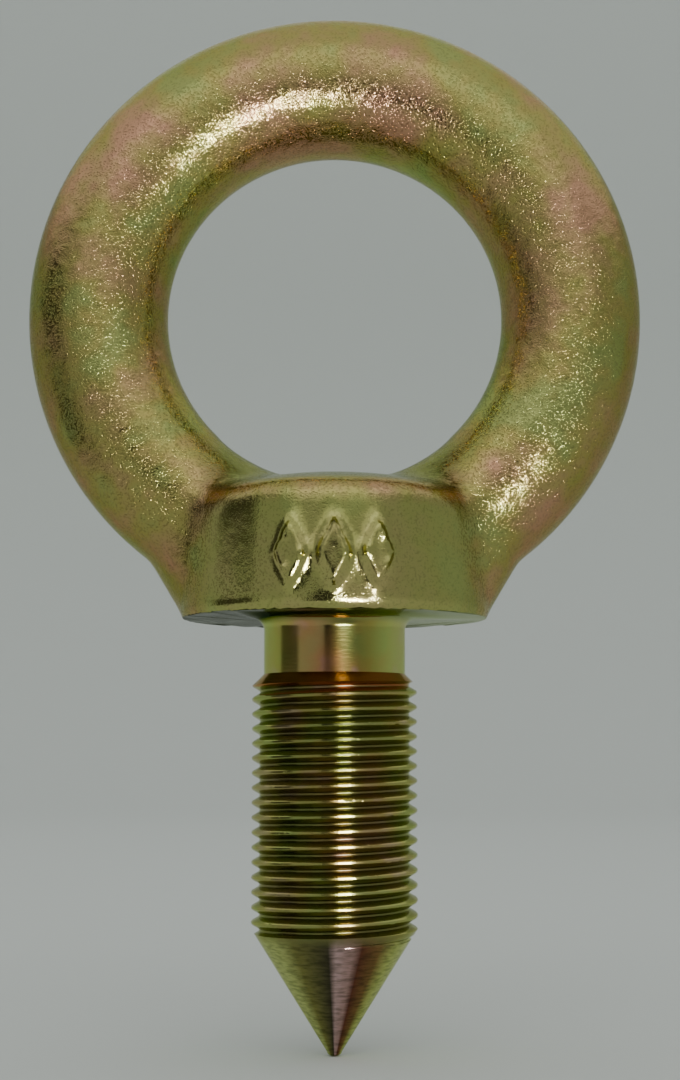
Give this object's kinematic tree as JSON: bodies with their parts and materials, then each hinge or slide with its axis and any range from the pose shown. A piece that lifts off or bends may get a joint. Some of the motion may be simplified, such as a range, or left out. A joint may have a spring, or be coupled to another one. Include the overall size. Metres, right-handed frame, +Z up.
{
  "type": "collared lifting eye bolt",
  "caption": "One-piece forged lifting eye bolt: round ring on a domed collar, machined shoulder, plain neck, fine screw thread and a cone point, yellow zinc plated.",
  "frame": {"origin": "centre of the machined shoulder face under the collar, on the screw axis", "axes": "+Z up the screw axis from the point to the ring, X across the ring, Y through the eye"},
  "size_m": [0.075, 0.038, 0.126],
  "materials": {
    "yellow_zinc": "forged carbon steel, yellow chromated zinc plating: rough orange peel on the forging, bright on the turned shank"
  },
  "bodies": {
    "root": {"eye_bolt": "yellow_zinc"}
  },
  "joints": []
}
